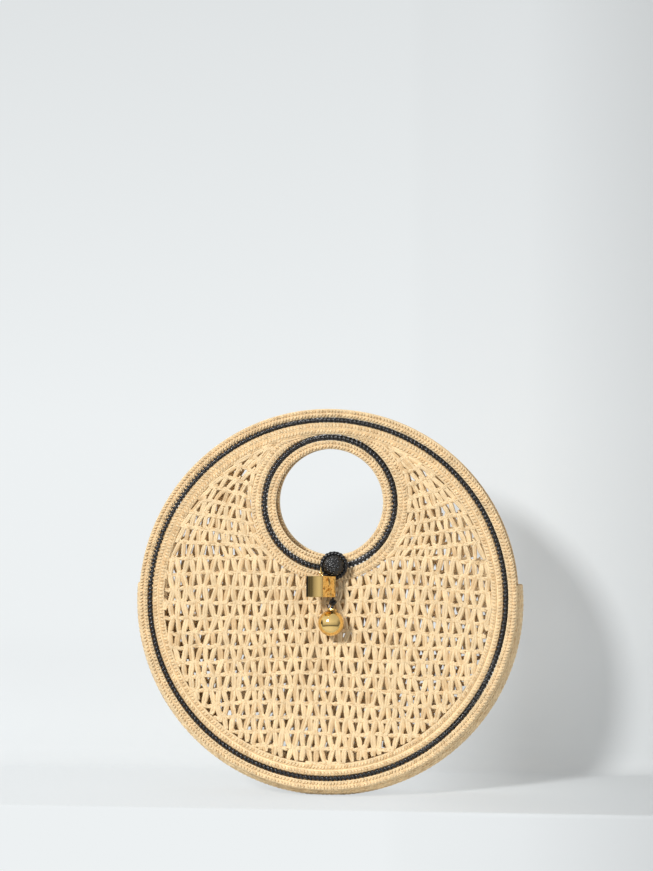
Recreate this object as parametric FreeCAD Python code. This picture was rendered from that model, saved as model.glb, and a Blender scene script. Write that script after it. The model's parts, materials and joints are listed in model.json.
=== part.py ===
import FreeCAD
import Part
import math
import os

# Round crocheted raffia bag: two openwork discs joined by a boat-shaped gusset, with a round
# hand hole in each disc, a ball button, a closure loop and two gold charms.
# Frame: millimetres, +Z up, the front faces -Y, the origin lies in the middle of the base.

V = FreeCAD.Vector

# Panels, measured in the plane of each disc
PANEL_RADIUS = 177.0
PANEL_THICKNESS = 5.5
PANEL_TILT = 4.0
ROW_GROOVE = 3.9
ROW_GAP = 0.2
RIM_EDGE_WIDTH = 7.6
RIM_STRIPE_WIDTH = 4.8
RIM_INNER_WIDTH = 10.6
BAND_ROWS = 2
STRIPE_ROWS = 1

# Hand hole and the rows round it
HOLE_RADIUS = 50.5
HANDLE_SHIFT = 2.0
HANDLE_EDGE_WIDTH = 7.8
HANDLE_STRIPE_WIDTH = 5.6
SURROUND_WIDTH = 9.4
SURROUND_OPEN_ANGLE = 40.0

# Openwork net: one tapered gap under each lambda-shaped stitch
NET_THICKNESS = 4.0
STITCH_PITCH = 14.0
STITCH_HEIGHT = 12.5
GAP_WIDTH = 8.0
GAP_TOP_WIDTH = 2.0
GAP_HEIGHT = 8.5
NET_BORDER = 2.5
NET_SPLIT_BELOW_HOLE = 1.0

# Gusset
GUSSET_WIDTH = 60.0
GUSSET_THICKNESS = 4.5
GUSSET_INSET = 0.5
GUSSET_BULGE = 0.3
GUSSET_ROWS = 10
GUSSET_RIDGE = 0.9
GUSSET_END_ANGLE = 94.0
GUSSET_SECTIONS = 13
BASE_FLAT_DEPTH = 2.0
SEAM_GAP = 0.3

# Ball button
BUTTON_RADIUS = 9.8
BUTTON_WALL = 2.0
BUTTON_STAND = 2.6
BUTTON_SHIFT = 6.0
BUTTON_RISE = 2.4
ROPE_RADIUS = 1.6
ROPE_SET_BACK = 4.0
SHANK_RADIUS = 1.4
BACKING_RADIUS = 8.0
BACKING_THICKNESS = 2.0
FIT = 0.1

# Cube charm
PICOT_DROP = 3.4
PICOT_ANGLE = 22.0
PICOT_RADIUS = 1.8
PICOT_THREAD = 0.6
JUMP_RING_RADIUS = 2.6
EYE_RADIUS = 1.5
RING_WIRE = 0.5
EYE_STEM_LENGTH = 3.5
CUBE_SIDE = 19.5
CUBE_WALL = 1.5
CUBE_EDGE = 0.8
CUBE_TURN = -32.0

# Ball charm
NECK_CORD_RADIUS = 1.0
HANGER_KNOT_RADIUS = 2.0
HANGER_TAIL = 13.0
BALL_RADIUS = 12.0
BALL_WALL = 1.2
BALL_SIDE = -2.0
BALL_CORD_LENGTH = 29.3
BALL_CORD_RADIUS = 1.4
BALL_KNOT_RADIUS = 2.6
BALL_KNOT_AT = 21.5
CAP_RADIUS = 4.2
CAP_HEIGHT = 2.4
CAP_WALL = 0.8
END_KNOT_RADIUS = 2.2
REST_GAP = 0.3

# Closure loop, in the plane of the back panel: x and height from the bottom of the hand hole
LOOP_RADIUS = 1.4
LOOP_ROUTE = [
    (1.8, -12.8), (-6.5, -28.8), (-8.0, -45.8), (-1.5, -57.3),
    (9.5, -57.3), (16.0, -45.8), (14.5, -28.8), (6.2, -12.8),
]
LOOP_CLEARANCE = 0.4
ANCHOR_WIDTH = 9.0
ANCHOR_HEIGHT = 6.0
ANCHOR_DEPTH = 4.0
ANCHOR_ROUND = 1.2
ARC_SHARE = 0.45

# Radii that follow from the widths of the rows
rim_stripe_out = PANEL_RADIUS - RIM_EDGE_WIDTH - ROW_GAP
rim_stripe_in = rim_stripe_out - RIM_STRIPE_WIDTH
rim_inner_out = rim_stripe_in - ROW_GAP
rim_inner_in = rim_inner_out - RIM_INNER_WIDTH
net_radius = rim_inner_in - ROW_GAP
handle_edge_out = HOLE_RADIUS + HANDLE_EDGE_WIDTH
handle_stripe_in = handle_edge_out + ROW_GAP
handle_stripe_out = handle_stripe_in + HANDLE_STRIPE_WIDTH
surround_in = handle_stripe_out + ROW_GAP
surround_out = surround_in + SURROUND_WIDTH
net_cut_radius = surround_out + ROW_GAP

# The handle's stripe reaches the rim's inner rows at the top
handle_reach = net_radius - handle_stripe_out
handle_up = math.sqrt(handle_reach ** 2 - HANDLE_SHIFT ** 2)
hole_bottom = handle_up - HOLE_RADIUS
net_split = hole_bottom - NET_SPLIT_BELOW_HOLE
face = PANEL_THICKNESS / 2
net_face = NET_THICKNESS / 2

# Gusset seat and the two panels' places
tilt = math.radians(PANEL_TILT)
seat_radius = PANEL_RADIUS - GUSSET_INSET
gusset_middle = seat_radius + GUSSET_BULGE * GUSSET_WIDTH / 2 + GUSSET_RIDGE - BASE_FLAT_DEPTH
seat_bottom = gusset_middle - seat_radius
hinge_y = GUSSET_WIDTH / 2 + SEAM_GAP
panel_y = hinge_y - seat_radius * math.sin(tilt) + face * math.cos(tilt)
panel_z = seat_bottom + seat_radius * math.cos(tilt) + face * math.sin(tilt)
front_place = FreeCAD.Placement(V(0, -panel_y, panel_z), FreeCAD.Rotation(V(1, 0, 0), -PANEL_TILT))
back_place = FreeCAD.Placement(V(0, panel_y, panel_z), FreeCAD.Rotation(V(1, 0, 0), PANEL_TILT))

# Places on the front panel: x, distance out from its middle plane, height from its middle
button_x = HANDLE_SHIFT + BUTTON_SHIFT
button_up = handle_up - (handle_stripe_in + handle_stripe_out) / 2 + BUTTON_RISE
button_out = face + BUTTON_STAND + BUTTON_RADIUS
rope_ring = math.sqrt((BUTTON_RADIUS + FIT + ROPE_RADIUS) ** 2 - ROPE_SET_BACK ** 2)
rope_out = button_out - ROPE_SET_BACK
picot_up = button_up - PICOT_DROP
picot_reach = math.sqrt(BUTTON_RADIUS ** 2 - PICOT_DROP ** 2) + FIT + PICOT_THREAD + PICOT_RADIUS
picot_x = button_x - picot_reach * math.cos(math.radians(PICOT_ANGLE))
picot_out = button_out + picot_reach * math.sin(math.radians(PICOT_ANGLE))
cube_out = picot_out + PICOT_RADIUS
jump_up = picot_up + PICOT_THREAD + FIT + RING_WIRE - JUMP_RING_RADIUS
eye_up = jump_up - JUMP_RING_RADIUS + FIT + 2 * RING_WIRE - EYE_RADIUS
cube_top = eye_up - EYE_RADIUS - RING_WIRE - FIT
hanger_out = face + 2 * FIT + NECK_CORD_RADIUS
pivot_up = button_up - HANGER_TAIL
pivot_out = face + 2 * FIT + HANGER_KNOT_RADIUS
ball_out = net_face + REST_GAP + BALL_RADIUS


def front_point(x, out, up):
    """Point on the front panel, in its own frame: out is towards the viewer."""
    return V(x, -out, up)


def line(start, end):
    return Part.LineSegment(start, end).toShape()


def arc(start, middle, end):
    return Part.Arc(start, middle, end).toShape()


def torus(centre, axis, ring, wire):
    return Part.makeTorus(ring, wire, centre, axis)


def rod(start, end, radius):
    """Straight round bar between two points."""
    run = end - start
    return Part.makeCylinder(radius, run.Length, start, run)


def fused(first, *others):
    return first.fuse(list(others)).removeSplitter()


def disc(radius, x, up):
    """Flat disc in the panel's middle plane."""
    return Part.Face(Part.Wire(Part.Circle(V(x, 0, up), V(0, 1, 0), radius).toShape()))


def rectangle(left, right, bottom, top):
    """Flat rectangle in the panel's middle plane."""
    corners = [V(left, 0, bottom), V(right, 0, bottom), V(right, 0, top), V(left, 0, top), V(left, 0, bottom)]
    return Part.Face(Part.makePolygon(corners))


# Crocheted rows of the panels


def row_section(inner, outer, rows):
    """Section through rows that lie side by side: a crown on each row, a groove between them."""
    crown = PANEL_THICKNESS / 2
    groove = ROW_GROOVE / 2
    step = (outer - inner) / rows
    edges = [line(V(inner, -groove, 0), V(inner, groove, 0))]
    for row in range(rows):
        start = inner + row * step
        edges.append(arc(V(start, groove, 0), V(start + step / 2, crown, 0), V(start + step, groove, 0)))
    edges.append(line(V(outer, groove, 0), V(outer, -groove, 0)))
    for row in reversed(range(rows)):
        start = inner + row * step
        edges.append(arc(V(start + step, -groove, 0), V(start + step / 2, -crown, 0), V(start, -groove, 0)))
    return Part.Face(Part.Wire(edges))


def row_band(inner, outer, rows, open_angle=0.0):
    """Band of rows round the panel's normal, open at the top by the given angle."""
    section = row_section(inner, outer, rows)
    section.rotate(V(0, 0, 0), V(0, 1, 0), open_angle / 2 - 90.0)
    return section.revolve(V(0, 0, 0), V(0, 1, 0), 360.0 - open_angle)


def at_handle(shape):
    shape.translate(V(HANDLE_SHIFT, 0, handle_up))
    return shape


def surround():
    """Rows outside the handle's stripe, which run out against the rim."""
    band = at_handle(row_band(surround_in, surround_out, BAND_ROWS, SURROUND_OPEN_ANGLE))
    field = Part.makeCylinder(net_radius, 2 * PANEL_THICKNESS, V(0, -PANEL_THICKNESS, 0), V(0, 1, 0))
    return band.common(field).Solids[0]


def inside_net(x, up, side):
    """True where a corner of a gap keeps the border to every edge of a piece of net."""
    clear_rim = math.hypot(x, up) < net_radius - NET_BORDER
    clear_handle = math.hypot(x - HANDLE_SHIFT, up - handle_up) > net_cut_radius + NET_BORDER
    clear_side = side * (x - HANDLE_SHIFT) >= 0
    return clear_rim and clear_handle and clear_side


def net_gap(x, up):
    """Tapered gap under one stitch, as a flat face, narrow at the top."""
    low = up - GAP_HEIGHT / 2
    high = up + GAP_HEIGHT / 2
    corners = [(x - GAP_WIDTH / 2, low), (x + GAP_WIDTH / 2, low),
               (x + GAP_TOP_WIDTH / 2, high), (x - GAP_TOP_WIDTH / 2, high)]
    return corners


def gap_face(corners):
    points = [V(x, 0, up) for x, up in corners]
    return Part.Face(Part.makePolygon(points + points[:1]))


def net_gaps(first_row, last_row, side):
    """Gaps of the rows counted from the split line, every other row shifted by half a stitch."""
    columns = int(net_radius / STITCH_PITCH) + 1
    faces = []
    for row in range(first_row, last_row):
        up = net_split + (row + 0.5) * STITCH_HEIGHT
        shift = HANDLE_SHIFT + (row % 2) * STITCH_PITCH / 2
        for column in range(-columns, columns + 1):
            corners = net_gap(shift + column * STITCH_PITCH, up)
            if all(inside_net(x, z, side) for x, z in corners):
                faces.append(gap_face(corners))
    return faces


def net_plate(region, gaps):
    holed = region.cut(Part.makeCompound(gaps)).Faces[0]
    holed.translate(V(0, -net_face, 0))
    return holed.extrude(V(0, NET_THICKNESS, 0))


def nets():
    """The lower net and the two wings beside the handle."""
    field = disc(net_radius, 0, 0).cut(disc(net_cut_radius, HANDLE_SHIFT, handle_up))
    reach = 2 * net_radius
    rows_down = int((net_radius + net_split) / STITCH_HEIGHT) + 1
    rows_up = int((net_radius - net_split) / STITCH_HEIGHT) + 1
    lower = field.common(rectangle(-reach, reach, -reach, net_split - ROW_GAP / 2))
    left = field.common(rectangle(-reach, HANDLE_SHIFT, net_split + ROW_GAP / 2, reach))
    right = field.common(rectangle(HANDLE_SHIFT, reach, net_split + ROW_GAP / 2, reach))
    return {
        "mesh_lower": net_plate(lower, net_gaps(-rows_down, 0, 0)),
        "mesh_left": net_plate(left, net_gaps(0, rows_up, -1)),
        "mesh_right": net_plate(right, net_gaps(0, rows_up, 1)),
    }


def panel_pieces():
    """All crocheted pieces of one panel, in the panel's own frame."""
    pieces = nets()
    pieces["rim_edge"] = row_band(rim_stripe_out + ROW_GAP, PANEL_RADIUS, BAND_ROWS)
    pieces["rim_stripe"] = row_band(rim_stripe_in, rim_stripe_out, STRIPE_ROWS)
    pieces["rim_inner"] = row_band(rim_inner_in, rim_inner_out, BAND_ROWS)
    pieces["handle_edge"] = at_handle(row_band(HOLE_RADIUS, handle_edge_out, BAND_ROWS))
    pieces["handle_stripe"] = at_handle(row_band(handle_stripe_in, handle_stripe_out, STRIPE_ROWS))
    pieces["handle_surround"] = surround()
    return pieces


# Gusset


def gusset_half_width(z):
    """Half the room between the panels at a height."""
    return GUSSET_WIDTH / 2 - (z - seat_bottom) * math.tan(tilt)


def gusset_point(angle, radius, y):
    """Point at an angle from straight down, round the gusset's middle line."""
    return V(radius * math.sin(angle), y, gusset_middle - radius * math.cos(angle))


def gusset_edge(angle, radius):
    return gusset_half_width(gusset_middle - radius * math.cos(angle))


def crown_point(half_width, bulge, share, lift):
    """Radius and y on the crowned strip: share runs from -1 to 1 across it."""
    crown_radius = (half_width ** 2 + bulge ** 2) / (2 * bulge)
    half_turn = math.asin(half_width / crown_radius)
    turn = share * half_turn
    centre = bulge - crown_radius
    return centre + (crown_radius + lift) * math.cos(turn), (crown_radius + lift) * math.sin(turn)


def gusset_section(angle):
    """Closed section across the strip: ridged rows outside, one plain arc inside."""
    outer_half = gusset_edge(angle, seat_radius)
    inner_radius = seat_radius - GUSSET_THICKNESS
    inner_half = gusset_edge(angle, inner_radius)
    bulge = GUSSET_BULGE * outer_half

    def outside(share, lift):
        rise, y = crown_point(outer_half, bulge, share, lift)
        return gusset_point(angle, seat_radius + rise, y)

    edges = []
    for row in range(GUSSET_ROWS):
        start = -1 + 2 * row / GUSSET_ROWS
        step = 2 / GUSSET_ROWS
        edges.append(arc(outside(start, 0), outside(start + step / 2, GUSSET_RIDGE), outside(start + step, 0)))
    inner_start = gusset_point(angle, inner_radius, inner_half)
    inner_end = gusset_point(angle, inner_radius, -inner_half)
    edges.append(line(outside(1, 0), inner_start))
    edges.append(arc(inner_start, gusset_point(angle, inner_radius + bulge, 0), inner_end))
    edges.append(line(inner_end, outside(-1, 0)))
    return Part.Wire(edges)


def gusset():
    """Boat-shaped strip, cut flat where the bag stands."""
    end = math.radians(GUSSET_END_ANGLE)
    angles = [end * (2 * i / (GUSSET_SECTIONS - 1) - 1) for i in range(GUSSET_SECTIONS)]
    strip = Part.makeLoft([gusset_section(angle) for angle in angles], True, False)
    ground = Part.makeBox(2 * PANEL_RADIUS, 2 * GUSSET_WIDTH, PANEL_RADIUS,
                          V(-PANEL_RADIUS, -GUSSET_WIDTH, -PANEL_RADIUS))
    return strip.cut(ground).Solids[0]


# Ball button


def shank_hole():
    """Way for the button's thread shank through the front handle rows."""
    reach = 2 * PANEL_THICKNESS
    return rod(front_point(button_x, -reach, button_up), front_point(button_x, reach, button_up),
               SHANK_RADIUS + FIT)


def button_pieces():
    centre = front_point(button_x, button_out, button_up)
    out = front_point(0, 1, 0)
    core_radius = BUTTON_RADIUS - BUTTON_WALL - FIT
    back = front_point(button_x, -face - FIT, button_up)
    shank_end = button_out - core_radius - FIT
    neck = rod(front_point(button_x, 0, button_up), centre, SHANK_RADIUS + FIT)
    shell = Part.makeSphere(BUTTON_RADIUS, centre).cut(Part.makeSphere(BUTTON_RADIUS - BUTTON_WALL, centre))
    return {
        "button_core": Part.makeSphere(core_radius, centre),
        "button_cover": shell.cut(neck),
        "button_rope": torus(front_point(button_x, rope_out, button_up), out, rope_ring, ROPE_RADIUS),
        "button_shank": rod(back, front_point(button_x, shank_end, button_up), SHANK_RADIUS),
        "button_backing": Part.makeCylinder(BACKING_RADIUS, BACKING_THICKNESS, back, out * -1),
    }


# Cube charm


def cube_picot():
    """Small thread loop that stands out from the side of the button."""
    return torus(front_point(picot_x, picot_out, picot_up), V(0, 0, 1), PICOT_RADIUS, PICOT_THREAD)


def cube_ring():
    return torus(front_point(picot_x, cube_out, jump_up), V(1, 0, 0), JUMP_RING_RADIUS, RING_WIRE)


def cube_eye():
    """Ring and stem of the eye pin, let into the top of the cube."""
    ring = torus(front_point(picot_x, cube_out, eye_up), V(0, 1, 0), EYE_RADIUS, RING_WIRE)
    stem_top = front_point(picot_x, cube_out, eye_up - EYE_RADIUS)
    return fused(ring, rod(stem_top, stem_top - V(0, 0, EYE_STEM_LENGTH), RING_WIRE))


def cube_charm():
    """Hollow cube with softened edges and a hole for the eye pin."""
    half = CUBE_SIDE / 2
    inner = CUBE_SIDE - 2 * CUBE_WALL
    outside = Part.makeBox(CUBE_SIDE, CUBE_SIDE, CUBE_SIDE, V(-half, -half, -CUBE_SIDE))
    outside = outside.makeFillet(CUBE_EDGE, outside.Edges)
    hollow = Part.makeBox(inner, inner, inner, V(-inner / 2, -inner / 2, CUBE_WALL - CUBE_SIDE))
    pin_hole = rod(V(0, 0, -2 * CUBE_WALL), V(0, 0, CUBE_WALL), RING_WIRE + FIT)
    cube = outside.cut(hollow).cut(pin_hole)
    cube.rotate(V(0, 0, 0), V(0, 0, 1), CUBE_TURN)
    cube.translate(front_point(picot_x, cube_out, cube_top))
    return cube


# Ball charm


def ball_hanger():
    """Cord loop round the button's neck, its tail and the knot at the tail's end."""
    neck = front_point(button_x, hanger_out, button_up)
    ring_radius = SHANK_RADIUS + FIT + NECK_CORD_RADIUS
    ring = torus(neck, V(0, 1, 0), ring_radius, NECK_CORD_RADIUS)
    knot = front_point(button_x, pivot_out, pivot_up)
    tail = rod(neck - V(0, 0, ring_radius), knot, NECK_CORD_RADIUS)
    return fused(ring, tail, Part.makeSphere(HANGER_KNOT_RADIUS, knot))


def ball_pieces():
    """The cord and what hangs on it, made straight down from the knot and then leant on the net."""
    cord_top = V(0, 0, -HANGER_KNOT_RADIUS - REST_GAP)
    ball_top = V(0, 0, -BALL_CORD_LENGTH)
    ball_middle = ball_top - V(0, 0, BALL_RADIUS)
    cord_end = ball_top - V(0, 0, BALL_WALL + END_KNOT_RADIUS)
    knot_middle = V(0, 0, -BALL_KNOT_AT)
    way = rod(V(0, 0, 0), cord_end, BALL_CORD_RADIUS + FIT)
    shell = Part.makeSphere(BALL_RADIUS, ball_middle).cut(Part.makeSphere(BALL_RADIUS - BALL_WALL, ball_middle))
    cap_base = ball_middle + V(0, 0, math.sqrt(BALL_RADIUS ** 2 - CAP_RADIUS ** 2))
    cap_up = BALL_RADIUS + FIT + CAP_WALL - cap_base.z + ball_middle.z
    cap_block = Part.makeCylinder(CAP_RADIUS, cap_up, cap_base)
    cap = cap_block.cut(Part.makeSphere(BALL_RADIUS + FIT, ball_middle))
    collar = Part.makeCone(CAP_RADIUS, BALL_CORD_RADIUS + CAP_WALL, CAP_HEIGHT - CAP_WALL,
                           cap_base + V(0, 0, cap_up))
    pieces = {
        "ball_cord": rod(cord_top, cord_end, BALL_CORD_RADIUS),
        "ball_knot": Part.makeSphere(BALL_KNOT_RADIUS, knot_middle).cut(way),
        "ball_cap": fused(cap, collar).cut(way),
        "ball_charm": shell.cut(way),
        "ball_end_knot": Part.makeSphere(END_KNOT_RADIUS, cord_end - V(0, 0, END_KNOT_RADIUS + FIT)),
    }
    pivot = front_point(button_x, pivot_out, pivot_up)
    swing = BALL_CORD_LENGTH + BALL_RADIUS
    sideways = BALL_SIDE
    outwards = ball_out - pivot_out
    down = math.sqrt(swing ** 2 - sideways ** 2 - outwards ** 2)
    lean = FreeCAD.Rotation(V(0, 0, -1), front_point(sideways, outwards, -down))
    for piece in pieces.values():
        piece.Placement = FreeCAD.Placement(pivot, lean)
    return pieces


# Closure loop


def loop_point(x, up):
    """Point of the loop's route on the inner side of the back panel."""
    return V(HANDLE_SHIFT + x, -face - LOOP_CLEARANCE - LOOP_RADIUS, hole_bottom + up)


def cord_path(points):
    """Straight runs joined by arcs as large as the runs allow; prints each arc's radius."""
    edges = []
    start = points[0]
    for before, corner, after in zip(points, points[1:], points[2:]):
        run_in = corner - before
        run_out = after - corner
        half_turn = run_in.getAngle(run_out) / 2
        reach = ARC_SHARE * min(run_in.Length, run_out.Length)
        radius = reach / math.tan(half_turn)
        print("closure loop arc radius %.1f mm" % radius)
        way_in = run_in / run_in.Length
        way_out = run_out / run_out.Length
        arc_start = corner - way_in * reach
        arc_end = corner + way_out * reach
        inwards = way_out - way_in
        to_arc = radius / math.cos(half_turn) - radius
        arc_middle = corner + inwards / inwards.Length * to_arc
        edges.append(line(start, arc_start))
        edges.append(arc(arc_start, arc_middle, arc_end))
        start = arc_end
    edges.append(line(start, points[-1]))
    return Part.Wire(edges)


def closure_loop():
    """Cord loop with rounded ends, hung from the anchor."""
    points = [loop_point(x, up) for x, up in LOOP_ROUTE]
    path = cord_path(points)
    profile = Part.Wire(Part.Circle(points[0], points[1] - points[0], LOOP_RADIUS).toShape())
    tube = path.makePipeShell([profile], True, False)
    print("closure loop volume %.1f, section times length %.1f"
          % (tube.Volume, math.pi * LOOP_RADIUS ** 2 * path.Length))
    return fused(tube, Part.makeSphere(LOOP_RADIUS, points[0]), Part.makeSphere(LOOP_RADIUS, points[-1]))


def loop_anchor():
    """Stitched block on the back handle ring, over the two ends of the loop."""
    middle = HANDLE_SHIFT + (LOOP_ROUTE[0][0] + LOOP_ROUTE[-1][0]) / 2
    bottom = hole_bottom + LOOP_ROUTE[0][1] + LOOP_RADIUS + REST_GAP
    corner = V(middle - ANCHOR_WIDTH / 2, -face - FIT - ANCHOR_DEPTH, bottom)
    block = Part.makeBox(ANCHOR_WIDTH, ANCHOR_DEPTH, ANCHOR_HEIGHT, corner)
    return block.makeFillet(ANCHOR_ROUND, block.Edges)


def export(node, shape):
    shape.exportStep("parts/" + node + ".step")


def main():
    os.makedirs("parts", exist_ok=True)
    front = panel_pieces()
    for name in ("handle_edge", "handle_stripe"):
        front[name] = front[name].cut(shank_hole())
    front = {"front_" + name: shape for name, shape in front.items()}
    front.update(button_pieces())
    front["cube_picot"] = cube_picot()
    front["cube_jump_ring"] = cube_ring()
    front["cube_eye"] = cube_eye()
    front["cube_charm"] = cube_charm()
    front["ball_hanger"] = ball_hanger()
    front.update(ball_pieces())
    back = {"back_" + name: shape for name, shape in panel_pieces().items()}
    back["closure_loop"] = closure_loop()
    back["loop_anchor"] = loop_anchor()
    export("gusset", gusset())
    for place, pieces in ((front_place, front), (back_place, back)):
        for node, shape in pieces.items():
            shape.Placement = place.multiply(shape.Placement)
            export(node, shape)


main()
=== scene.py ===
"""Dresses the frame of a round crocheted raffia bag: yarn rows, openwork nets, gold charms and cords."""

import bpy
import bmesh
import json
import math
import random
from bpy.props import FloatProperty, FloatVectorProperty, IntProperty, PointerProperty
from mathutils import Matrix, Vector
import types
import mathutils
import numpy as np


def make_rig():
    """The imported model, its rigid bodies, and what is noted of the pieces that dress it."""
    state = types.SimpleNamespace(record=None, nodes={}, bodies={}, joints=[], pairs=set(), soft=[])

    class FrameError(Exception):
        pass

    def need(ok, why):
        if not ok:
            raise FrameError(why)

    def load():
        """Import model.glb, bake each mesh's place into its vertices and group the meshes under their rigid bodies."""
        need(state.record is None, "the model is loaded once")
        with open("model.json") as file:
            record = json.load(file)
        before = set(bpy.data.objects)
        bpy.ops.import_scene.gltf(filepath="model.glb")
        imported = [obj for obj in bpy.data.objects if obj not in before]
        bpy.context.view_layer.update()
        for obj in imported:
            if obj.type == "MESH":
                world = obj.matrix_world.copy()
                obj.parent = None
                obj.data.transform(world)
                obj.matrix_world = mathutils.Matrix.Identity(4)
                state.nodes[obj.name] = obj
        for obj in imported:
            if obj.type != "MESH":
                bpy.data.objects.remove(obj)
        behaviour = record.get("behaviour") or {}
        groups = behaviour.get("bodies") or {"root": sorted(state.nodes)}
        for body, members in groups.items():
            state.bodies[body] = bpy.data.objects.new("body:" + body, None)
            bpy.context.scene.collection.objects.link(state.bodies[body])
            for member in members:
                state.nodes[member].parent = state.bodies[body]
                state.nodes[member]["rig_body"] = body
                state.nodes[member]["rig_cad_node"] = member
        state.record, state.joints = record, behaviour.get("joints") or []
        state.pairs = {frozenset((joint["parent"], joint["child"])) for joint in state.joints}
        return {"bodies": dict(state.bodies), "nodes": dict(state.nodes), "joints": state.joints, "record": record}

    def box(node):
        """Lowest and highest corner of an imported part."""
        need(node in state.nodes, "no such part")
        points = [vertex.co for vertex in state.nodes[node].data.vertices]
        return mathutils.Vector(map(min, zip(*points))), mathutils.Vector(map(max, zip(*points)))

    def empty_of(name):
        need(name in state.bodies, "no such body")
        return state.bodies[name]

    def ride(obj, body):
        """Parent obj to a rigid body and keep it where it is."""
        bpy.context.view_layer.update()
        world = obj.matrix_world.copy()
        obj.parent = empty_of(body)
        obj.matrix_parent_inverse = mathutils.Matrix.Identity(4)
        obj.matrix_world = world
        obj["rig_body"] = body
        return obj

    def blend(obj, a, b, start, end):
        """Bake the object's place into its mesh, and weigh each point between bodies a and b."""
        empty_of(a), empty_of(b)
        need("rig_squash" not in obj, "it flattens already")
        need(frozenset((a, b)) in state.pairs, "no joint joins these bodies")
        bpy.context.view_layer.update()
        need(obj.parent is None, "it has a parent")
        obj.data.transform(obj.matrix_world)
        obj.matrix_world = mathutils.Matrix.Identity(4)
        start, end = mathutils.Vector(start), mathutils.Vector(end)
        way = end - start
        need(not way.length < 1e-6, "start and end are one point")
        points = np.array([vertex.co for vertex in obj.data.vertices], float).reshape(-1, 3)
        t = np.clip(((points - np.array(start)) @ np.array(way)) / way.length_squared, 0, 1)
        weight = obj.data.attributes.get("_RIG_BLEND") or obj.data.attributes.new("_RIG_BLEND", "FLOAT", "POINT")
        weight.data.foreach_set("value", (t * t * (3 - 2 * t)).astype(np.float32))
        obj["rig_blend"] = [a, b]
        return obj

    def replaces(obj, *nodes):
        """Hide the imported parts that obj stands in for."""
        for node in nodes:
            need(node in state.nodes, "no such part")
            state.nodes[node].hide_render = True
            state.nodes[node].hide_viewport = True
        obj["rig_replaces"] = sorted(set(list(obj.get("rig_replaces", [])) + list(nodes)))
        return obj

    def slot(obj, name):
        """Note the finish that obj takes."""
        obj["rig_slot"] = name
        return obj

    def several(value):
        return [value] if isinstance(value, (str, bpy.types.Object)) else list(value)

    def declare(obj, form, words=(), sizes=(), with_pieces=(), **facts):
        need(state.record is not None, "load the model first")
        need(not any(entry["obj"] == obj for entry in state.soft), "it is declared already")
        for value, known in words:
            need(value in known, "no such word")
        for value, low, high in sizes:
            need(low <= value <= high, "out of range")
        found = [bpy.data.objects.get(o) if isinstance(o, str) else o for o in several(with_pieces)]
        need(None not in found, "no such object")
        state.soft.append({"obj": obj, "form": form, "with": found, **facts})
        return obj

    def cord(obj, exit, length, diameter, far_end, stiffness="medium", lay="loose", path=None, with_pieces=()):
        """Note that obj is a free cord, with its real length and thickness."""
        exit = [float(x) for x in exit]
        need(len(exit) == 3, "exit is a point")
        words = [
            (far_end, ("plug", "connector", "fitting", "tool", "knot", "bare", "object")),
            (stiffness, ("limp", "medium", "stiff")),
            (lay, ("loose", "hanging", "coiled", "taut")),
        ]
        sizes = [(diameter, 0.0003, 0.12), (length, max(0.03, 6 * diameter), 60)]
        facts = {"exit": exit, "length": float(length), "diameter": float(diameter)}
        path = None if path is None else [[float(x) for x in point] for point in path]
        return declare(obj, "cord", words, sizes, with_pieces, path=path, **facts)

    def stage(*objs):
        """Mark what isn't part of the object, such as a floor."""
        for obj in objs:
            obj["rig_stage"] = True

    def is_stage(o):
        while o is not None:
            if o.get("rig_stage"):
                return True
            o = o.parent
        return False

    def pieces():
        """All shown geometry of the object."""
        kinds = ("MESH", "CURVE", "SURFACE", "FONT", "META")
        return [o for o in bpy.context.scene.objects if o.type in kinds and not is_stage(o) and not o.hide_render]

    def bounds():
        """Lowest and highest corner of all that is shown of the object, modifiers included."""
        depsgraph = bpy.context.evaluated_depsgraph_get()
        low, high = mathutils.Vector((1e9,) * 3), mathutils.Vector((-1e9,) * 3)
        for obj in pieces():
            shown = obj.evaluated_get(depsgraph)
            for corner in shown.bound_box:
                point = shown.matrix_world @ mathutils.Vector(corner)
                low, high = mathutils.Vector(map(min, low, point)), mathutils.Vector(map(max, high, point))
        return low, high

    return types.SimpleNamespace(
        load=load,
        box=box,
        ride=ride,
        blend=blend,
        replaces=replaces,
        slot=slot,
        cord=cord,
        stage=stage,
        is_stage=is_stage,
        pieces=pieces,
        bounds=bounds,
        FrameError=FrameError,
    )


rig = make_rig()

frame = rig.load()
CAD_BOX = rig.bounds()

bl_info = {
    "name": "Round Crocheted Bag",
    "version": (1, 0, 0),
    "blender": (4, 5, 0),
    "location": "View3D > Sidebar > Bag",
    "description": "Dresses the frame of a round raffia bag with yarn, gold and cord",
    "category": "Object",
}

MM = 0.001
SIZE_FILE = "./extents.json"
PHOTO_WIDTH = 653
PHOTO_HEIGHT = 871
FULL_TURN = 2 * math.pi
GOLDEN_TURN = math.pi * (3 - math.sqrt(5))
JOINTS = {joint["name"]: joint for joint in frame["joints"]}
SEEDS = {"front": 11, "back": 23, "nets": 100, "gusset": 200, "button": 5, "cube": 7, "hanger": 9}

# Widths in the frame that its boxes don't show
ROW_GAP = 0.2 * MM
HOLE_ROWS_WIDTH = 7.8 * MM
ROPE_RADIUS = 1.6 * MM
CUBE_SIDE = 19.5 * MM
CUBE_TURN = math.radians(-32.0)
GUSSET_INSET = 0.5 * MM
GUSSET_BULGE = 0.3
GUSSET_END = math.radians(94.0)
SEAM_GAP = 0.3 * MM

# Closure loop on the back disc, in millimetres: x and height from the bottom of the hand hole
LOOP_ROUTE = [
    (1.8, -12.8), (-6.5, -28.8), (-8.0, -45.8), (-1.5, -57.3),
    (9.5, -57.3), (16.0, -45.8), (14.5, -28.8), (6.2, -12.8),
]
LOOP_RADIUS = 1.4 * MM
LOOP_LENGTH = 105 * MM


# Sizes read from the frame


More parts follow.
